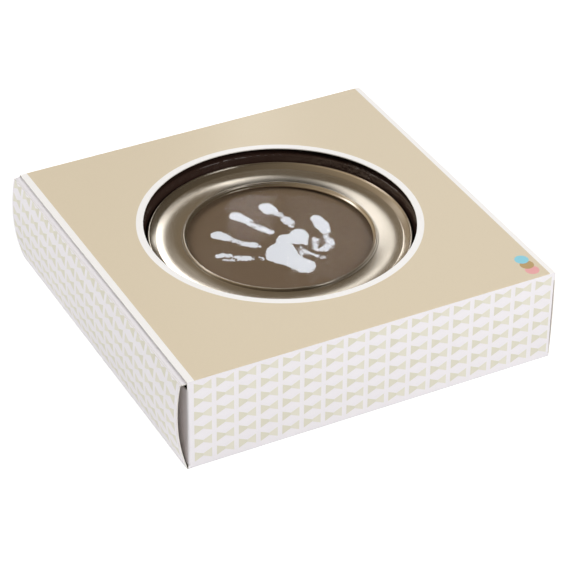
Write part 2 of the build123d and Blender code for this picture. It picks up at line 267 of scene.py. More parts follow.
class StageSettings(bpy.types.PropertyGroup):
    camera_place: bpy.props.FloatVectorProperty(
        name="Camera", description="Where the camera stands", subtype="TRANSLATION",
        unit="LENGTH", default=(-0.57301, -1.09681, 0.87419),
    )
    camera_turn: bpy.props.FloatVectorProperty(
        name="Camera turn", description="The camera's turn about X, Y and Z", subtype="EULER",
        default=(math.radians(55.2115), math.radians(-0.4905), math.radians(-27.3902)),
    )
    lens: amount("Lens", "Focal length in millimetres", 161.406, 500, unit="CAMERA")
    floor: colour("Floor", "White paper sweep", "#E6E6E6")
    floor_glow: amount("Floor glow", "How much the white floor shows of itself", 0.54, 1)
    dim_side: amount("Dim side", "Brightness of the studio on the right", 0.1, 4)
    light_side: amount("Light side", "Brightness of the studio on the left", 0.75, 4)
    card_glow: amount("Card glow", "Brightness of the white cards in the metal", 1.5, 9)
    left_lamp: amount("Left lamp", "Soft lamp on the left, in watts", 10.2, 500, "POWER")
    right_lamp: amount("Right lamp", "Soft lamp at the front right, in watts", 41.5, 500, "POWER")
    lamp_size: length("Lamp size", "Side of each square soft lamp", 1000)


SETTINGS = {
    "handprint_carton": CartonSettings,
    "handprint_moulding": MouldingSettings,
    "handprint_picture": PictureSettings,
    "handprint_kit": KitSettings,
    "handprint_stage": StageSettings,
}


# Carton: offset-printed folding boxboard, clay-coated outside and grey inside

# Where the bow-ties start, in millimetres from the side's middle and the table, and how many
# columns and rows there are, with a white margin all round
FIRST_COLUMN, FIRST_ROW = -106.0, 7.4
BOW_COLUMNS, BOW_ROWS = 17, 6

# The bowed left flap shows its print higher and closer: a factor on the height that the
# artwork is read at, and a shift of it in millimetres
BOWED_SCALE, BOWED_SHIFT = 1.02, -2.9

# Heights in millimetres between which the painted shade along a side's bottom crease, where the
# board rolls under, fades out
CREASE_SHADE_LOW, CREASE_SHADE_HIGH = 0.4, 0.9

DOTS_X = 104.7
DOTS = (("dot_pink", -107.5), ("dot_tan", -101.7), ("dot_blue", -96.0))

# A face shows its print or its reverse where its normal leans less than 53 degrees from the
# board's, which is this cosine
FACE_ON = 0.6


def bow_tie_group(carton):
    """Masks for rows of bow-ties in upright columns, from two distances in millimetres."""
    group = bpy.data.node_groups.new("Bow-tie print", "ShaderNodeTree")
    for way, names in (("INPUT", ("Along", "Up")), ("OUTPUT", ("Bow", "Light half"))):
        for name in names:
            group.interface.new_socket(name, in_out=way, socket_type="NodeSocketFloat")
    pitch, row = carton.column_pitch / MM, carton.row_pitch / MM
    half_width, knot = carton.column_width / MM / 2, carton.knot_height / MM / 2
    slope = (carton.bow_height / MM / 2 - knot) / half_width
    given = add(group, "NodeGroupInput").outputs
    made = {"along": given["Along"], "up": given["Up"]}
    for name, operation, *sources in (
        ("across", "SUBTRACT", "along", FIRST_COLUMN),
        ("above", "SUBTRACT", "up", FIRST_ROW),
        ("column", "PINGPONG", "across", pitch / 2),
        ("level", "PINGPONG", "above", row / 2),
        ("edge", "MULTIPLY_ADD", "column", slope, knot),
        ("bow", "LESS_THAN", "level", "edge"),
        ("in_column", "LESS_THAN", "column", half_width),
        ("in_rows", "COMPARE", "above", (BOW_ROWS - 1) / 2 * row, BOW_ROWS / 2 * row),
        ("in_span", "COMPARE", "across", (BOW_COLUMNS - 1) / 2 * pitch, BOW_COLUMNS / 2 * pitch),
        ("bow", "MULTIPLY", "bow", "in_column"),
        ("bow", "MULTIPLY", "bow", "in_rows"),
        ("bow", "MULTIPLY", "bow", "in_span"),
        # The right half of every bow is printed lighter than the left
        ("side", "ADD", "across", pitch / 2),
        ("side", "FLOORED_MODULO", "side", pitch),
        ("light", "GREATER_THAN", "side", pitch / 2),
        ("light", "MULTIPLY", "light", "bow"),
    ):
        inputs = {place: made.get(source, source) for place, source in enumerate(sources)}
        made[name] = add(group, "ShaderNodeMath", inputs, operation=operation)
    add(group, "NodeGroupOutput", {"Bow": made["bow"], "Light half": made["light"]})
    return group


def side_print(carton, along, scale=1.0, shift=0.0):
    """Artwork of a carton side: bow-ties along X (0) or Y (1), fitted to the side's height, with
    painted shade along the bottom crease.
    """
    def draw(tree, in_mm):
        parts = add(tree, "ShaderNodeSeparateXYZ", {0: in_mm}).outputs
        up = {0: parts[2], 1: scale, 2: shift}
        up = add(tree, "ShaderNodeMath", up, operation="MULTIPLY_ADD")
        group = bpy.data.node_groups.get("Bow-tie print") or bow_tie_group(carton)
        place = {"Along": parts[along], "Up": up}
        bow = add(tree, "ShaderNodeGroup", place, node_tree=group).outputs
        # Painted shade: a grey painted along the bottom of each side, where the board rolls under
        # at its crease and turns from the light
        foot = {0: parts[2], 1: CREASE_SHADE_LOW, 2: CREASE_SHADE_HIGH, 3: 1.0, 4: 0.0}
        foot = add(tree, "ShaderNodeMapRange", foot)
        inks = (bow["Bow"], "motif"), (bow["Light half"], "motif_light"), (foot, "fold")
        face = carton.paper_white
        for mask, ink in inks:
            face = {0: mask, 6: face, 7: getattr(carton, ink)}
            face = add(tree, "ShaderNodeMix", face, data_type="RGBA")
        return face
    return draw


def top_print(carton):
    """Artwork of the carton's top: a beige field with white borders, ring and colour dots, their
    white painted brighter as a painted sheen.
    """
    half = NODES["top_panel"].dimensions.x / 2 / MM
    low, high = carton.left_border / MM - half, half - carton.right_border / MM
    circles = [(WELL.x / MM, WELL.y / MM, carton.window_ring, carton.field, "GREATER_THAN")]
    for name, place in DOTS:
        dot = getattr(carton, name)
        circles.append((DOTS_X, place, carton.dot_radius, dot, "LESS_THAN"))

    def draw(tree, in_mm):
        flat = add(tree, "ShaderNodeVectorMath", {0: in_mm, 1: (1, 1, 0)}, operation="MULTIPLY")
        inks = []
        for x, y, radius, ink, side in circles:
            reach = {0: flat, 1: (x, y, 0)}
            reach = add(tree, "ShaderNodeVectorMath", reach, operation="DISTANCE")
            mask = add(tree, "ShaderNodeMath", {0: reach, 1: radius / MM}, operation=side)
            inks.append((mask, ink))
        # The field ends at the borders as well as at the ring
        span = add(tree, "ShaderNodeSeparateXYZ", {0: flat}).outputs["X"]
        span = {0: span, 1: (low + high) / 2, 2: (high - low) / 2}
        span = add(tree, "ShaderNodeMath", span, operation="COMPARE")
        field = add(tree, "ShaderNodeMath", {0: span, 1: inks[0][0]}, operation="MULTIPLY")
        # The ring and borders take the top's brighter white: printed white, with a painted sheen
        face = carton.ring_white_painted_sheen
        for mask, ink in [(field, carton.field)] + inks[1:]:
            face = add(tree, "ShaderNodeMix", {0: mask, 6: face, 7: ink}, data_type="RGBA")
        return face
    return draw


def coated_boxboard(carton, name, outward, artwork=None):
    """Clay-coated folding boxboard: the printed side is smooth with a low sheen, the reverse
    is matte grey with paper fibres, and the die-cut edges show the pale core."""
    material, tree, in_mm, own_normal = start_material(name)
    facing = {0: own_normal, 1: tuple(Vector(outward).normalized())}
    facing = add(tree, "ShaderNodeVectorMath", facing, operation="DOT_PRODUCT")
    printed = add(tree, "ShaderNodeMath", {0: facing, 1: FACE_ON}, operation="GREATER_THAN")
    reverse = add(tree, "ShaderNodeMath", {0: facing, 1: -FACE_ON}, operation="LESS_THAN")
    # Real fibres are 0.02 mm wide, too fine for the render, so they are drawn 1.4 mm apart
    fibres = {"Vector": in_mm, "Scale": 0.7, "Detail": 5.0, "Roughness": 0.7}
    mottle, depth = grained(tree, fibres, (0.975, 1.02), (0.05, 0.02))
    front = artwork(tree, in_mm) if artwork else carton.paper_white
    face = carton.core
    for mask, ink in ((reverse, carton.reverse), (printed, front)):
        face = add(tree, "ShaderNodeMix", {0: mask, 6: face, 7: ink}, data_type="RGBA")
    face = add(tree, "ShaderNodeVectorMath", {0: face, "Scale": mottle}, operation="SCALE")
    sheen = add(tree, "ShaderNodeMapRange", {0: printed, 3: 0.85, 4: 0.4})
    return end_material(material, {
        "Base Color": face, "Roughness": sheen, "IOR": 1.5, "Normal": depth,
    })


class PrintCarton(bpy.types.Operator):
    """Prints the carton's board: beige top, bow-tie sides, white underside and grey inside"""
    bl_idname = "handprint_frame.print_carton"
    bl_label = "Print the carton"

    def execute(self, context):
        carton = context.scene.handprint_carton
        boards = [
            ("top_panel", (0, 0, 1), top_print(carton)),
            ("front_panel", (0, -1, 0), side_print(carton, 0)),
            ("back_panel", (0, 1, 0), side_print(carton, 0)),
            ("left_end_flap", (-1, 0, 0), side_print(carton, 1, BOWED_SCALE, BOWED_SHIFT)),
            ("right_end_flap", (1, 0, 0), side_print(carton, 1)),
            ("bottom_panel", (0, 0, -1), None),
            ("glue_flap", (0, 1, 0), None),
            ("left_tuck_tab", (0, 0, 1), None),
            ("right_tuck_tab", (0, 0, 1), None),
        ]
        for end, x in (("left", -1), ("right", 1)):
            for side, y in (("front", -1), ("back", 1)):
                boards.append(("dust_flap_" + end + "_" + side, (x, y, 0), None))
        for node, outward, artwork in boards:
            dress(coated_boxboard(carton, "coated_boxboard_" + node, outward, artwork), node)
        return {"FINISHED"}


# Creases: the board runs on from panel to flap to tab, so a short strip bridges each fold

# Where the bottom's and the left flap's board bend, from the carton's middle, and how the
# strips fit: clear of the corners, dipping under the tab, and thinner than the board
FOOT_FOLD, LEFT_TAB_FOLD = 115.4 * MM, -118.9 * MM
CORNER_GAP, TAB_DIP = 0.2 * MM, 0.3 * MM
TAB_SHARE, FOOT_SHARE = 0.96, 0.9
CREASE_STEPS = 8


def crease_strip(name, start, end, thickness, half_length, bodies, material):
    """A straight strip of board from one height-and-reach point to another, across a crease."""
    start, end = Vector((start[0], 0, start[1])), Vector((end[0], 0, end[1]))
    rise = (end - start).cross(Vector((0, 1, 0))).normalized() * thickness / 2
    if rise.z < 0:
        rise.negate()
    points, faces = [], []
    for y in (-half_length, half_length):
        for share in range(CREASE_STEPS + 1):
            middle = start.lerp(end, share / CREASE_STEPS) + Vector((0, y, 0))
            points += [middle - rise, middle + rise]
    row = 2 * (CREASE_STEPS + 1)
    for share in range(CREASE_STEPS):
        low, high = 2 * share, 2 * share + 1
        faces.append((low, low + 2, low + 2 + row, low + row))
        faces.append((high, high + row, high + 2 + row, high + 2))
        for y_row, order in ((0, 1), (row, -1)):
            side = [y_row + index for index in (low, high, high + 2, low + 2)]
            faces.append(tuple(side[::order]))
    faces.append((0, row, row + 1, 1))
    last = 2 * CREASE_STEPS
    faces.append((last, last + 1, row + last + 1, row + last))
    piece = new_piece(name, points, faces, material, None)
    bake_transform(piece)
    return piece


class FoldCreases(bpy.types.Operator):
    """Bridges the creases between the bottom panel, the end flaps and their tuck tabs"""
    bl_idname = "handprint_frame.fold_creases"
    bl_label = "Fold the creases"

    def execute(self, context):
        carton = context.scene.handprint_carton
        folded = coated_boxboard(carton, "coated_boxboard_crease", (0, 0, 1))
        under = coated_boxboard(carton, "coated_boxboard_foot_crease", (0, 0, -1))
        board = LEFT_TAB[1].z - LEFT_TAB[0].z
        half_length = LEFT_FLAP[1].y - CORNER_GAP
        tab_level = (LEFT_TAB[0].z + LEFT_TAB[1].z) / 2
        floor_level = BOTTOM[0].z + board / 2
        sides = (
            ("left", -1, LEFT_TAB_FOLD, LEFT_TAB[0].x),
            ("right", 1, RIGHT_FLAP[1].x - board / 2, RIGHT_TAB[1].x),
        )
        for name, side, flap_top, tab_root in sides:
            flap = name + "_flap"
            crease_strip(
                name + "_tab_crease", (flap_top, tab_level - TAB_DIP), (tab_root, tab_level),
                board * TAB_SHARE, half_length, (flap, name + "_tab"), folded,
            )
            foot = ((side * -BOTTOM[0].x, floor_level), (side * FOOT_FOLD, floor_level))
            crease_strip(
                name + "_foot_crease", *foot, board * FOOT_SHARE, half_length,
                ("carton", flap), under,
            )
        return {"FINISHED"}


# Insert: thermoformed polystyrene

# Where the sheet creased in the well's wall, and how the crinkles fade, in millimetres
CRINKLED_AT = (68.0, 37.0, 50.0)
CRINKLED_NEAR, CRINKLED_FAR = 8.0, 34.0


def thermoformed_plastic(kit):
    """Dark thermoformed polystyrene: glossy where the film met the air, with the faint ripple
    of a sheet drawn over a mould and crinkles where it creased in the well's wall."""
    material, tree, in_mm, _ = start_material("thermoformed_polystyrene")
    ripple = {"Vector": in_mm, "Scale": 0.09, "Detail": 2.0, "Roughness": 0.4}
    ripple = add(tree, "ShaderNodeTexNoise", ripple)
    crinkle = {"Vector": in_mm, "Scale": 0.35, "Detail": 3.0, "Distortion": 0.8}
    crinkle = add(tree, "ShaderNodeTexNoise", crinkle)
    near = add(tree, "ShaderNodeVectorMath", {0: in_mm, 1: CRINKLED_AT}, operation="DISTANCE")
    near = {0: near, 1: CRINKLED_NEAR, 2: CRINKLED_FAR, 3: 1.0, 4: 0.06}
    near = add(tree, "ShaderNodeMapRange", near)
    crinkle = add(tree, "ShaderNodeMath", {0: crinkle, 1: near}, operation="MULTIPLY")
    height = add(tree, "ShaderNodeMath", {0: ripple, 1: crinkle}, operation="ADD")
    depth = {"Height": height, "Strength": 1.0, "Distance": 1.2 * MM}
    depth = add(tree, "ShaderNodeBump", depth)
    return end_material(material, {
        "Base Color": kit.insert, "Roughness": 0.17, "IOR": 1.55, "Normal": depth,
    })


class FormInsert(bpy.types.Operator):
    """Finishes the insert tray in dark thermoformed plastic"""
    bl_idname = "handprint_frame.form_insert"
    bl_label = "Form the insert"

    def execute(self, context):
        dress(thermoformed_plastic(context.scene.handprint_kit), "insert_tray")
        return {"FINISHED"}


# Frame moulding: one profile turned about the frame's axis

def arc(start, middle, end, count):
    """Points on the circle through three points, from the first to just short of the last."""
    (ax, az), (bx, bz), (cx, cz) = start, middle, end
    d = 2 * (ax * (bz - cz) + bx * (cz - az) + cx * (az - bz))
    a, b, c = ax * ax + az * az, bx * bx + bz * bz, cx * cx + cz * cz
    x = (a * (bz - cz) + b * (cz - az) + c * (az - bz)) / d
    z = (a * (cx - bx) + b * (ax - cx) + c * (bx - ax)) / d
    radius = math.hypot(ax - x, az - z)
    turns = [math.atan2(pz - z, px - x) for px, pz in (start, middle, end)]
    sweep = (turns[2] - turns[0]) % math.tau
    if (turns[1] - turns[0]) % math.tau > sweep:
        sweep -= math.tau
    shares = [turns[0] + sweep * step / count for step in range(count)]
    return [(x + radius * math.cos(t), z + radius * math.sin(t)) for t in shares]


def softened(points, radius, steps=3):
    """A corner at each inner point of an open run, rounded with a short arc."""
    line = [Vector(p) for p in points]
    soft = []
    for before, corner, after in zip(line, line[1:], line[2:]):
        start = corner + (before - corner).normalized() * radius
        end = corner + (after - corner).normalized() * radius
        for step in range(steps + 1):
            t = step / steps
            soft.append(tuple(start * (1 - t) ** 2 + corner * 2 * t * (1 - t) + end * t * t))
    return soft


# Points round the rim, along the cove and over the bead
RIM_STEPS, COVE_STEPS, BEAD_STEPS = 14, 34, 12


def moulding_profile(ring):
    """Rim, cove, groove, bead, sight edge, rebate and back skirt as radius and height."""
    wall = (RING_HIGH.x - RING_LOW.x) / 2
    top, foot = RING_HIGH.z, RING_LOW.z
    roll, bead, soft = ring.rim / 2, ring.bead_width / 2, ring.edge_round
    shoulder = top - ring.bead_drop - bead
    outer, rim_level = ring.rim_radius, top - ring.rim_drop - roll
    rim_start, rim_end = (outer, rim_level), (outer - ring.rim, rim_level)
    cove_start = (ring.cove_start, top - ring.cove_drop)
    cove_end = (ring.cove_end, cove_start[1] - ring.cove_fall)
    chord = Vector(cove_end) - Vector(cove_start)
    sunk = (Vector(cove_start) + Vector(cove_end)) / 2
    sunk += Vector((-chord.y, chord.x)).normalized() * ring.cove_sag
    slope_end = (cove_start[0] + 2 * soft, cove_start[1] + soft / 2)
    groove = (cove_end[0] - soft, shoulder)
    points = arc(rim_start, (outer - roll, rim_level + roll), rim_end, RIM_STEPS)
    points += softened([points[-1], rim_end, slope_end, cove_start], soft)
    points += arc(cove_start, tuple(sunk), cove_end, COVE_STEPS)
    points += softened([points[-1], cove_end, groove], soft / 2) + [groove]
    crest = ring.bead_radius
    bead_end = (crest - bead, shoulder)
    points += arc((crest + bead, shoulder), (crest, shoulder + bead), bead_end, BEAD_STEPS)
    level = top - ring.sight_drop
    ledge = top - ring.ledge_drop
    back = [
        bead_end,
        (ring.sight_radius, level + ring.sight_edge),
        (ring.sight_radius, level),
        (ring.rebate_radius, level),
        (ring.rebate_radius, ledge),
        (ring.back_radius, ledge),
        (ring.back_radius, foot),
        (wall - ring.foot_chamfer, foot),
        (wall, foot + ring.foot_chamfer),
        (wall, rim_level - ring.flare),
        (outer, rim_level - roll),
        rim_start,
    ]
    return points + [back[0]] + softened(back, soft)


def turned_tree():
    """Geometry Nodes: a profile curve swept round a circle."""
    tree = bpy.data.node_groups.new("Turned moulding", "GeometryNodeTree")
    for name, kind in (
        ("Profile", "Object"), ("Radius", "Float"), ("Segments", "Int"),
        ("Centre", "Vector"), ("Finish", "Material"),
    ):
        tree.interface.new_socket(name, in_out="INPUT", socket_type="NodeSocket" + kind)
    tree.interface.new_socket("Geometry", in_out="OUTPUT", socket_type="NodeSocketGeometry")
    given = add(tree, "NodeGroupInput").outputs
    profile = add(tree, "GeometryNodeObjectInfo", {"Object": given["Profile"]})
    circle = {"Resolution": given["Segments"], "Radius": given["Radius"]}
    circle = add(tree, "GeometryNodeCurvePrimitiveCircle", circle)
    swept = {"Curve": circle, "Profile Curve": profile.outputs["Geometry"]}
    swept = add(tree, "GeometryNodeCurveToMesh", swept)
    placed = {"Geometry": swept, "Translation": given["Centre"]}
    placed = add(tree, "GeometryNodeTransform", placed)
    real = add(tree, "GeometryNodeRealizeInstances", {"Geometry": placed})
    dressed = {"Geometry": real, "Material": given["Finish"]}
    dressed = add(tree, "GeometryNodeSetMaterial", dressed)
    add(tree, "NodeGroupOutput", {"Geometry": dressed})
    return tree


def profile_curve(name, points, radius):
    """A closed curve of a profile: X runs outwards from the sweep circle, Y downwards."""
    curve = bpy.data.curves.new(name, "CURVE")
    curve.dimensions = "3D"
    line = curve.splines.new("POLY")
    line.points.add(len(points) - 1)
    for point, (reach, height) in zip(line.points, reversed(points)):
        point.co = (reach - radius, -height, 0, 1)
    line.use_cyclic_u = True
    return put(name, curve)


def turned_piece(name, points, radius, segments, material):
    """Runs the turned tree and keeps its result as a plain mesh."""
    tree = turned_tree()
    holder = profile_curve(name + "_profile", points, radius)
    source = put(name, bpy.data.meshes.new(name))
    modifier = source.modifiers.new("Turned", "NODES")
    modifier.node_group = tree
    values = {
        "Profile": holder, "Radius": radius, "Segments": segments,
        "Centre": (WELL.x, WELL.y, 0), "Finish": material,
    }
    for item in tree.interface.items_tree:
        if item.in_out == "INPUT":
            modifier[item.identifier] = values[item.name]
    bpy.context.view_layer.update()
    evaluated = source.evaluated_get(bpy.context.evaluated_depsgraph_get())
    mesh = bpy.data.meshes.new_from_object(evaluated)
    source.modifiers.remove(modifier)
    source.data = mesh
    curve = holder.data
    bpy.data.objects.remove(holder)
    bpy.data.curves.remove(curve)
    if not mesh.polygons:
        raise RuntimeError(name + " came out empty")
    return source


def satin_metal(ring):
    """Champagne-plated metal with a fine satin finish: the plating gives warm grey
    reflections, and the blasted surface spreads them softly without any visible grain."""
    material, tree, in_mm, _ = start_material("champagne_satin_metal")
    # Blasting grit is about 0.1 mm, too fine for the render, so it is drawn at 0.5 mm
    grit = add(tree, "ShaderNodeTexNoise", {"Vector": in_mm, "Scale": 2.0, "Detail": 2.0})
    cloud = add(tree, "ShaderNodeTexNoise", {"Vector": in_mm, "Scale": 0.12, "Detail": 2.0})
    satin = {0: cloud, 3: ring.roughness - 0.02, 4: ring.roughness + 0.03}
    satin = add(tree, "ShaderNodeMapRange", satin)
    depth = {"Height": grit, "Strength": 0.12, "Distance": 0.02 * MM}
    depth = add(tree, "ShaderNodeBump", depth)
    return end_material(material, {
        "Base Color": ring.metal, "Metallic": 1.0, "Roughness": satin, "Normal": depth,
    })


class TurnMoulding(bpy.types.Operator):
    """Turns the frame's moulding: rolled rim, deep cove, groove, bead and rebate"""
    bl_idname = "handprint_frame.turn_moulding"
    bl_label = "Turn the moulding"

    def execute(self, context):
        ring = context.scene.handprint_moulding
        radius = (RING_HIGH.x - RING_LOW.x) / 2
        metal = satin_metal(ring)
        profile = moulding_profile(ring)
        piece = turned_piece("turned_moulding", profile, radius, ring.segments, metal)
        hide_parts("frame_moulding")
        finish_piece(piece, metal, "frame", smooth_angle=32)
        return {"FINISHED"}


# Picture: clear pane, brown card and hardboard backing

def clear_acrylic(picture):
    """Clear cast acrylic sheet: nearly invisible, with a soft low glare. Open shadow rays
    keep the card behind it as bright as it is."""
    material, tree, _, _ = start_material("clear_acrylic")
    plastic = add(tree, "ShaderNodeBsdfPrincipled", {
        "Base Color": linear("#FDFDFC"), "Roughness": 0.06, "IOR": 1.49,
        "Transmission Weight": 1.0,
    })
    both = {0: picture.glass_share, 1: add(tree, "ShaderNodeBsdfTransparent"), 2: plastic}
    return end_material(material, add(tree, "ShaderNodeMixShader", both))


def matted_fibre(name, tint, texture, level, relief, roughness, spread=(0.0, 1.0)):
    """Paper, card or hardboard: one tint, clouded and roughened by its matted fibres."""
    material, tree, in_mm, _ = start_material(name)
    mottle, depth = grained(tree, {"Vector": in_mm, **texture}, level, relief, spread)
    face = add(tree, "ShaderNodeVectorMath", {0: tint[:3], "Scale": mottle}, operation="SCALE")
    return end_material(material, {
        "Base Color": face, "Roughness": roughness, "IOR": 1.45, "Normal": depth,
    })


def uncoated_card(picture):
    """Uncoated brown card: fully matte with a faint paper mottle."""
    fibres = {"Scale": 0.5, "Detail": 6.0, "Roughness": 0.7}
    mottle, relief = (0.93, 1.06), (0.2, 0.05)
    return matted_fibre("uncoated_brown_card", picture.card, fibres, mottle, relief, 0.85)


def hardboard(picture):
    """Tempered hardboard: brown pressed fibre, smooth and slightly polished on its face."""
    fibres = {"Scale": 1.1, "Detail": 8.0, "Roughness": 0.75}
    mottle, relief = (0.75, 1.25), (0.4, 0.1)
    return matted_fibre("hardboard", picture.backing, fibres, mottle, relief, 0.6, (0.3, 0.7))


class FillFrame(bpy.types.Operator):
    """Finishes the pane, the display card and the backing board"""
    bl_idname = "handprint_frame.fill_frame"
    bl_label = "Fill the frame"

    def execute(self, context):
        picture = context.scene.handprint_picture
        dress(clear_acrylic(picture), "glazing_pane")
        dress(uncoated_card(picture), "display_card")
        dress(hardboard(picture), "backing_board")
        return {"FINISHED"}


# Handprint: strokes and a palm outline in millimetres from the frame's axis, as a pressed
# hand leaves them. A stroke is x, y and radius at one end, then at the other.
PALM = (
    (-16.7, -15.0), (-14.5, -10.0), (-11.4, -5.6), (-7.6, -3.1), (-3.9, -2.2), (-2.0, 1.2),
    (2.4, 4.1), (7.4, 3.1), (11.8, 5.5), (16.1, 5.0), (17.7, 1.9), (17.4, -3.8), (14.3, -8.1),
    (12.0, -13.1), (8.9, -10.0), (6.1, -8.8), (4.2, -6.9), (3.9, -11.9), (3.0, -18.1),
    (3.9, -23.8), (7.1, -28.8), (6.1, -33.8), (3.0, -36.9), (-0.8, -38.4), (-5.8, -35.0),
    (-7.9, -29.4), (-9.5, -25.0), (-13.3, -20.6),
)
STROKES = (
    # Little finger: tip, streak, middle and a speck by the palm
    (-40.0, 0.4, 2.0, -37.0, 0.3, 2.1), (-37.0, 0.3, 2.1, -33.6, -2.4, 1.9),
    (-39.3, -3.9, 0.7, -34.4, -6.7, 0.9), (-31.6, -6.0, 2.4, -25.0, -9.6, 2.5),
    (-18.6, -11.4, 0.6, -17.8, -14.0, 0.9),
    # Ring finger
    (-30.6, 20.1, 4.2, -27.0, 15.2, 3.2), (-25.3, 13.0, 1.5, -22.4, 7.4, 1.9),
    (-21.2, 5.6, 2.1, -16.4, 1.6, 2.9), (-16.0, 0.6, 2.0, -14.4, -1.4, 1.2),
    # Middle finger
    (-11.9, 33.3, 4.3, -7.8, 25.0, 2.9), (-8.0, 22.4, 2.5, -5.4, 17.0, 1.9),
    (-4.4, 14.8, 2.8, -1.2, 9.2, 2.1),
    # First finger
    (8.4, 34.4, 4.5, 8.8, 29.6, 4.6), (9.2, 26.4, 2.6, 11.6, 24.4, 2.3),
    (12.0, 23.0, 1.5, 12.4, 20.6, 1.1), (12.8, 17.2, 3.4, 13.1, 13.2, 3.1),
    (12.7, 11.6, 2.0, 12.3, 8.8, 1.2),
    # Thumb: tip, joint and the mound beside the palm
    (29.6, 10.3, 3.6, 28.9, 2.4, 4.5), (28.9, 2.4, 4.5, 27.9, -3.6, 3.4),
    (25.6, -8.6, 1.6, 25.2, -11.4, 1.9),
    (25.4, -12.6, 2.2, 24.6, -17.0, 2.7), (24.6, -17.0, 2.7, 18.8, -20.4, 2.6),
    (18.8, -20.4, 2.6, 14.8, -19.2, 1.7),
    (14.6, -17.6, 1.8, 18.2, -8.6, 1.7), (18.2, -8.6, 1.7, 20.2, -9.9, 1.0),
    # Streaks at the heel of the thumb
    (4.2, -20.2, 0.8, 7.0, -12.6, 0.6), (6.8, -15.8, 1.2, 10.9, -24.2, 1.0),
    (10.9, -24.2, 1.0, 14.4, -28.6, 0.9),
    (4.4, -18.0, 1.2, 9.2, -20.8, 1.0),
)
CREASES = (
    (16.1, -18.0, 0.5, 21.8, -11.6, 0.7), (11.6, -15.4, 0.6, 15.6, -8.0, 0.6),
    (-7.0, 24.4, 0.4, -5.0, 21.4, 0.5),
    (-38.6, -2.3, 0.5, -34.6, -4.9, 0.35), (6.6, 26.0, 0.7, 8.4, 25.2, 0.6),
    (-33.6, -3.8, 0.3, -31.8, -7.6, 0.3),
)

# Where the hand carried little paint and the print breaks up: x, y and spread, and how
# strong the specks are there and elsewhere
DRY_SPECKS, WET_SPECKS = 6.0, 0.6
DRY_SPOTS = (
    (-33.0, -5.5, 4.5), (-22.0, -11.5, 4.0), (-24.0, 9.5, 4.0), (-15.5, 0.0, 4.5),
    (-6.5, 19.0, 3.0),
    (-2.5, 11.0, 4.0), (11.5, 23.5, 3.5), (12.7, 12.5, 4.5), (25.0, -11.0, 4.0), (22.0, -19.0, 4.5),
    (17.0, -12.0, 4.0), (8.0, -16.0, 4.5), (12.5, -27.0, 3.5), (2.0, -36.5, 4.0),
    (-6.0, -31.0, 3.0),
)

# The print's grid in millimetres from the frame's axis, and how the paint thins to its edge:
# its cover and coat there, and the millimetres over which they grow inwards
GRID_ALONG, GRID_ACROSS = (-44, 36), (-41, 42)
EDGE_COVER, COVER_REACH = 0.25, 0.9
EDGE_COAT, COAT_GAIN, COAT_REACH = 0.45, 0.5, 1.2


def stroke_depth(x, y, stroke):
    """How far inside a tapered stroke each point is, in millimetres."""
    ax, ay, a_radius, bx, by, b_radius = stroke
    along = ((x - ax) * (bx - ax) + (y - ay) * (by - ay)) / ((bx - ax) ** 2 + (by - ay) ** 2)
    share = np.clip(along, 0, 1)
    reach = np.hypot(x - ax - share * (bx - ax), y - ay - share * (by - ay))
    return a_radius + share * (b_radius - a_radius) - reach


def outline_depth(x, y, outline):
    """How far inside a closed outline each point is, in millimetres."""
    reach = np.full(x.shape, np.inf)
    inside = np.zeros(x.shape, bool)
    for (ax, ay), (bx, by) in zip(outline, outline[1:] + outline[:1]):
        reach = np.minimum(reach, -stroke_depth(x, y, (ax, ay, 0, bx, by, 0)))
        crosses = (ay > y) != (by > y)
        at = ax + (y - ay) * (bx - ax) / ((by - ay) or 1e-9)
        inside ^= crosses & (x < at)
    return np.where(inside, reach, -reach)


def print_depth(x, y, ragged):
    """The print's field: above nought there is paint, and the more the thicker."""
    depth = outline_depth(x, y, PALM)
    for stroke in STROKES:
        depth = np.maximum(depth, stroke_depth(x, y, stroke))
    # A coarse unevenness of the edge, and fine specks: scale, slice, fall-off and octaves
    rough, fine = (
        np.array([
            noise.fractal(Vector((px * scale, py * scale, slice_height)), fall, 2.1, octaves)
            for px, py in zip(x.flat, y.flat)
        ]).reshape(x.shape)
        for scale, slice_height, fall, octaves in ((0.55, 3.0, 0.9, 3), (0.9, 9.0, 0.5, 2))
    )
    dry = np.full(x.shape, WET_SPECKS)
    for spot_x, spot_y, spread in DRY_SPOTS:
        dry += DRY_SPECKS * np.exp(-((x - spot_x) ** 2 + (y - spot_y) ** 2) / spread ** 2)
    depth = depth + (rough + fine * dry) * ragged
    for crease in CREASES:
        depth = np.minimum(depth, -stroke_depth(x, y, crease) + rough * 0.3)
    return depth


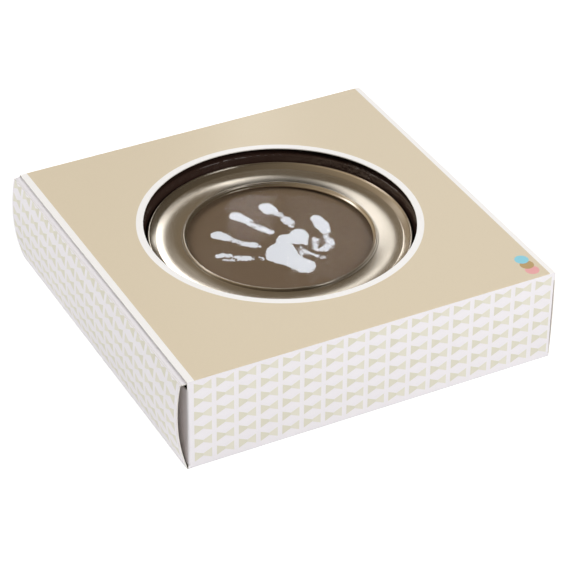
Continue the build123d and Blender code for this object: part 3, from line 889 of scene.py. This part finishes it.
def handprint_mesh(picture):
    """Marches over a grid and keeps the part of each triangle that has paint, as a thin coat."""
    cell = picture.cell / MM
    xs, ys = np.arange(*GRID_ALONG, cell), np.arange(*GRID_ACROSS, cell)
    x, y = np.meshgrid(xs, ys)
    depth = print_depth(x, y, picture.ragged / MM)
    points, cover, known, faces = [], [], {}, []

    def corner(key):
        """The point at a grid corner, or on the edge between two where the paint ends."""
        if key not in known:
            (ra, ca), (rb, cb) = key
            da, db = depth[ra, ca], depth[rb, cb]
            t = 0.0 if ra == rb and ca == cb else da / (da - db)
            px = x[ra, ca] + t * (x[rb, cb] - x[ra, ca])
            py = y[ra, ca] + t * (y[rb, cb] - y[ra, ca])
            inside = max(0.0, float(da * (1 - t) + db * t))
            known[key] = len(points)
            points.append((px, py, inside))
            cover.append(min(1.0, EDGE_COVER + inside / COVER_REACH))
        return known[key]

    for row in range(len(ys) - 1):
        for column in range(len(xs) - 1):
            if depth[row:row + 2, column:column + 2].max() <= 0:
                continue
            a, b = (row, column), (row, column + 1)
            c, d = (row + 1, column + 1), (row + 1, column)
            for triangle in ((a, b, c), (a, c, d)):
                face = []
                for here, after in zip(triangle, triangle[1:] + triangle[:1]):
                    has, next_has = depth[here] > 0, depth[after] > 0
                    if has:
                        face.append(corner((here, here)))
                    if has != next_has:
                        face.append(corner((here, after) if has else (after, here)))
                if len(face) > 2:
                    faces.append(face)
    edges = {pair for face in faces for pair in zip(face, face[1:] + face[:1])}
    count = len(points)
    top, low = [], []
    for px, py, inside in points:
        place = Vector((WELL.x, WELL.y, 0)) + Vector((px * MM, py * MM, CARD_TOP))
        share = EDGE_COAT + COAT_GAIN * min(1.0, inside / COAT_REACH)
        top.append(place + Vector((0, 0, (PRINT_TOP - CARD_TOP) * share)))
        low.append(place)
    walls = [
        (b, a, a + count, b + count)
        for face in faces for a, b in zip(face, face[1:] + face[:1]) if (b, a) not in edges
    ]
    under = [tuple(count + index for index in reversed(face)) for face in faces]
    return top + low, faces + walls + under, cover + cover


def acrylic_paint(picture):
    """White acrylic paint pressed on with a hand: matte, a little cool, blotchy, and thin
    enough at its edges to let the card through."""
    material, tree, in_mm, _ = start_material("white_acrylic_print")
    cover = add(tree, "ShaderNodeAttribute", attribute_name="cover").outputs["Fac"]
    blotch = {"Vector": in_mm, "Scale": 0.9, "Detail": 4.0, "Roughness": 0.65}
    blotch = add(tree, "ShaderNodeTexNoise", blotch)
    full = add(tree, "ShaderNodeMath", {0: cover, 1: blotch}, operation="ADD")
    full = add(tree, "ShaderNodeMapRange", {0: full, 1: 0.75, 2: 1.2, 3: 0.0, 4: 1.0})
    face = {0: full, 6: picture.paint_thin, 7: picture.paint}
    face = add(tree, "ShaderNodeMix", face, data_type="RGBA")
    depth = {"Height": blotch, "Strength": 0.35, "Distance": 0.06 * MM}
    depth = add(tree, "ShaderNodeBump", depth)
    return end_material(material, {
        "Base Color": face, "Roughness": 0.6, "IOR": 1.48, "Normal": depth,
    })


class PressHandprint(bpy.types.Operator):
    """Presses the white handprint on the card, with ragged edges, creases and thin patches"""
    bl_idname = "handprint_frame.press_handprint"
    bl_label = "Press the handprint"

    def execute(self, context):
        picture = context.scene.handprint_picture
        points, faces, cover = handprint_mesh(picture)
        paint = acrylic_paint(picture)
        piece = new_piece("pressed_handprint", points, faces, paint, "frame", 40)
        shares = piece.data.attributes.new("cover", "FLOAT", "POINT")
        shares.data.foreach_set("value", cover)
        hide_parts("handprint")
        return {"FINISHED"}


# Fixings: turn buttons, screws, hanger and nails

def plated_steel(name, code, roughness, streak):
    """Zinc- or brass-plated sheet steel: bright, with the faint streaks of rolled sheet."""
    material, tree, in_mm, _ = start_material(name)
    drawn = add(tree, "ShaderNodeMapping", {"Vector": in_mm, "Scale": streak})
    grain = {"Vector": drawn, "Scale": 1.0, "Detail": 5.0}
    satin, depth = grained(tree, grain, (roughness - 0.07, roughness + 0.1), (0.15, 0.02))
    return end_material(material, {
        "Base Color": linear(code), "Metallic": 1.0, "Roughness": satin, "Normal": depth,
    })


class FitFixings(bpy.types.Operator):
    """Finishes the turn buttons and hanger in zinc plate, the screws and nails in brass plate"""
    bl_idname = "handprint_frame.fit_fixings"
    bl_label = "Fit the fixings"

    def execute(self, context):
        zinc = plated_steel("zinc_plated_steel", "#C6C8CA", 0.32, (0.3, 4.0, 4.0))
        brass = plated_steel("brass_plated_steel", "#D9B872", 0.26, (2.0, 2.0, 2.0))
        dress(zinc, "turn_button_1", "turn_button_2", "turn_button_3", "hanger_plate")
        dress(brass, "button_screws", "hanger_nails")
        return {"FINISHED"}


# Spare papers

def kit_paper(name, tint):
    """Dyed craft paper: matte, with the cloudy look of its fibres."""
    fibres = {"Scale": 0.6, "Detail": 6.0, "Roughness": 0.7}
    return matted_fibre(name, tint, fibres, (0.94, 1.05), (0.2, 0.05), 0.9)


class StackPapers(bpy.types.Operator):
    """Finishes the six spare papers under the frame in blue, tan and pink"""
    bl_idname = "handprint_frame.stack_papers"
    bl_label = "Stack the papers"

    def execute(self, context):
        kit = context.scene.handprint_kit
        for tint in ("blue", "tan", "pink"):
            node = tint + "_papers"
            dress(kit_paper("dyed_paper_" + node, getattr(kit, tint)), node)
        return {"FINISHED"}


# Paint pot

def moulded_polypropylene(name, tint, roughness, scatter):
    """Injection-moulded polypropylene: waxy, slightly translucent, with a fine spark texture."""
    material, tree, in_mm, _ = start_material(name)
    spark = {"Vector": in_mm, "Scale": 1.6, "Detail": 3.0}
    satin, depth = grained(tree, spark, (roughness - 0.04, roughness + 0.06), (0.12, 0.05))
    return end_material(material, {
        "Base Color": tint, "Roughness": satin, "IOR": 1.49, "Subsurface Weight": scatter,
        "Subsurface Radius": (1.0, 1.0, 0.9), "Subsurface Scale": 1.0 * MM, "Normal": depth,
    })


def wet_paint(picture):
    """Wet white acrylic in its pot: opaque and glossy with a settled, barely wavy surface."""
    material, tree, in_mm, _ = start_material("wet_white_acrylic")
    wave = add(tree, "ShaderNodeTexNoise", {"Vector": in_mm, "Scale": 0.15, "Detail": 1.0})
    depth = {"Height": wave, "Strength": 0.4, "Distance": 0.3 * MM}
    depth = add(tree, "ShaderNodeBump", depth)
    return end_material(material, {
        "Base Color": picture.paint, "Roughness": 0.12, "IOR": 1.48, "Normal": depth,
    })


class FillPaintPot(bpy.types.Operator):
    """Finishes the paint pot, its screw lid and liner, and the paint in it"""
    bl_idname = "handprint_frame.fill_paint_pot"
    bl_label = "Fill the paint pot"

    def execute(self, context):
        kit = context.scene.handprint_kit
        for node, name, tint, roughness, scatter in (
            ("paint_pot", "natural_polypropylene", kit.pot, 0.35, 0.3),
            ("paint_lid", "white_polypropylene", kit.lid, 0.3, 0.15),
            ("lid_liner", "polyethylene_foam", kit.foam, 0.8, 0.2),
        ):
            dress(moulded_polypropylene(name, tint, roughness, scatter), node)
        dress(wet_paint(context.scene.handprint_picture), "white_paint")
        return {"FINISHED"}


# Stage: white sweep, dim studio, two soft lamps, the cards that the metal mirrors, camera

def sweep_paper(stage):
    """White paper sweep: shows white of itself and still takes the carton's shadow."""
    material, tree, in_mm, _ = start_material("white_paper_sweep")
    path = add(tree, "ShaderNodeLightPath").outputs
    seen = path["Is Camera Ray"]
    for other in ("Is Glossy Ray", "Is Transmission Ray"):
        seen = add(tree, "ShaderNodeMath", {0: seen, 1: path[other]}, operation="MAXIMUM")
    glow = add(tree, "ShaderNodeMath", {0: seen, 1: stage.floor_glow}, operation="MULTIPLY")
    # Paper fibres are far too fine to show, so only a faint cloudiness is drawn
    cloud = add(tree, "ShaderNodeTexNoise", {"Vector": in_mm, "Scale": 0.02})
    cloud = add(tree, "ShaderNodeMapRange", {0: cloud, 3: 0.99, 4: 1.01})
    face = {0: stage.floor[:3], "Scale": cloud}
    face = add(tree, "ShaderNodeVectorMath", face, operation="SCALE")
    return end_material(material, {
        "Base Color": face, "Roughness": 0.9, "Emission Color": (1, 1, 1, 1),
        "Emission Strength": glow,
    })


# Which way the studio is light, how far round it goes on, and the warm tint of its wood,
# which only the metal mirrors
LIGHT_WAY = (-0.87, 0.5, 0.0)
LIGHT_FROM, LIGHT_FULL = -0.5, 0.9
WARM_ROOM = "#FFE7C6"


def studio_world(stage):
    """A dim studio that is lighter towards the left, and white where the camera sees it."""
    world = bpy.data.worlds.new("dim_studio")
    world.use_nodes = True
    tree = world.node_tree
    tree.nodes.clear()
    left = {0: add(tree, "ShaderNodeTexCoord").outputs["Generated"], 1: LIGHT_WAY}
    left = add(tree, "ShaderNodeVectorMath", left, operation="DOT_PRODUCT")
    left = add(tree, "ShaderNodeMapRange", {0: left, 1: LIGHT_FROM, 2: LIGHT_FULL})
    left = add(tree, "ShaderNodeMath", {0: left, 1: left}, operation="MULTIPLY")
    level = add(tree, "ShaderNodeMix", {0: left, 2: stage.dim_side, 3: stage.light_side})
    path = add(tree, "ShaderNodeLightPath").outputs
    level = add(tree, "ShaderNodeMix", {0: path["Is Camera Ray"], 2: level, 3: 1.0})
    warm = {0: path["Is Glossy Ray"], 6: (1, 1, 1, 1), 7: linear(WARM_ROOM)}
    warm = add(tree, "ShaderNodeMix", warm, data_type="RGBA")
    glow = add(tree, "ShaderNodeBackground", {"Color": warm, "Strength": level})
    add(tree, "ShaderNodeOutputWorld", {"Surface": glow})
    return world


# How far the sweep reaches each way, and how little it lies under the carton
SWEEP_REACH, SWEEP_LEVEL = 4.0, -0.05 * MM

# Where the soft lamps stand, in metres, and what the metal mirrors in place of their bare
# glare: white cards, each with its brightness, width and height, and place. A reflector
# stands upright, and a panel faces the frame. A card up to NEAR_CARD wide stands so
# near that it would light the carton's top, so it shows in gloss only.
NEAR_CARD = 0.2
LEFT_LAMP_PLACE = (-0.95, 0.85, 1.10)
RIGHT_LAMP_PLACE = (0.97, -1.83, 1.45)
REFLECTORS = (
    ("left_panel", 1.3, (0.60, 0.60), (-0.93, 0.83, 1.08)),
    ("right_panel", 1.6, (0.60, 0.60), (0.645, -1.215, 0.98)),
    ("wide_reflector", 1.0, (0.40, 0.46), (0.731, 0.952, 0.68)),
    ("low_reflector", 2.0, (0.035, 0.11), (0.131, 0.296, 0.205)),
    ("left_reflector", 0.2, (0.05, 0.06), (0.045, 0.21, 0.22)),
)


class SetStage(bpy.types.Operator):
    """Lays the white sweep, lights the studio and sets the camera"""
    bl_idname = "handprint_frame.set_stage"
    bl_label = "Set the stage"

    def execute(self, context):
        stage = context.scene.handprint_stage
        mesh = bpy.data.meshes.new("paper_sweep")
        ways = ((-1, -1), (1, -1), (1, 1), (-1, 1))
        corners = [(x * SWEEP_REACH, y * SWEEP_REACH, SWEEP_LEVEL) for x, y in ways]
        mesh.from_pydata(corners, [], [(0, 1, 2, 3)])
        mesh.materials.append(sweep_paper(stage))
        floor = put("paper_sweep", mesh)
        context.scene.world = studio_world(stage)
        square = (stage.lamp_size, stage.lamp_size)
        lights = [
            ("soft_left", stage.left_lamp, square, LEFT_LAMP_PLACE, False),
            ("soft_right", stage.right_lamp, square, RIGHT_LAMP_PLACE, False),
        ]
        for name, glow, (width, height), place in REFLECTORS:
            watts = glow * stage.card_glow * math.pi * width * height
            lights.append((name, watts, (width, height), place, True))
        for name, watts, (width, height), place, mirrored in lights:
            light = bpy.data.lights.new(name, "AREA")
            light.shape, light.energy = "RECTANGLE", watts
            light.size, light.size_y = width, height
            lamp = put(name, light)
            lamp.location = place
            lamp.visible_glossy = mirrored
            lamp.visible_diffuse = width > NEAR_CARD
            aim = WELL - lamp.location
            if name.endswith("reflector"):
                aim.z = 0
            lamp.rotation_euler = aim.to_track_quat("-Z", "Y").to_euler()
        camera = put("camera", bpy.data.cameras.new("camera"))
        camera.location = stage.camera_place
        camera.rotation_euler = stage.camera_turn
        camera.data.lens = stage.lens
        camera.data.sensor_width = 36
        camera.data.clip_end = 50
        context.scene.camera = camera
        context.scene.view_settings.view_transform = "Standard"
        return {"FINISHED"}


STEPS = (
    PrintCarton, FoldCreases, FormInsert, TurnMoulding, FillFrame,
    PressHandprint, FitFixings, StackPapers, FillPaintPot, SetStage,
)


class HandprintPanel(bpy.types.Panel):
    """Lists the steps that dress the frame and its carton"""
    bl_idname = "HANDPRINT_PT_steps"
    bl_label = "Handprint frame"
    bl_space_type = "VIEW_3D"
    bl_region_type = "UI"
    bl_category = "Handprint frame"

    def draw(self, context):
        for step in STEPS:
            self.layout.operator(step.bl_idname)


def register():
    for group in SETTINGS.values():
        bpy.utils.register_class(group)
    for name, group in SETTINGS.items():
        setattr(bpy.types.Scene, name, bpy.props.PointerProperty(type=group))
    for kind in STEPS + (HandprintPanel,):
        bpy.utils.register_class(kind)


def unregister():
    for kind in reversed(STEPS + (HandprintPanel,)):
        bpy.utils.unregister_class(kind)
    for name, group in SETTINGS.items():
        delattr(bpy.types.Scene, name)
        bpy.utils.unregister_class(group)


def main():
    register()
    for step in STEPS:
        family, name = step.bl_idname.split(".")
        getattr(getattr(bpy.ops, family), name)()


if __name__ == "__main__":
    main()
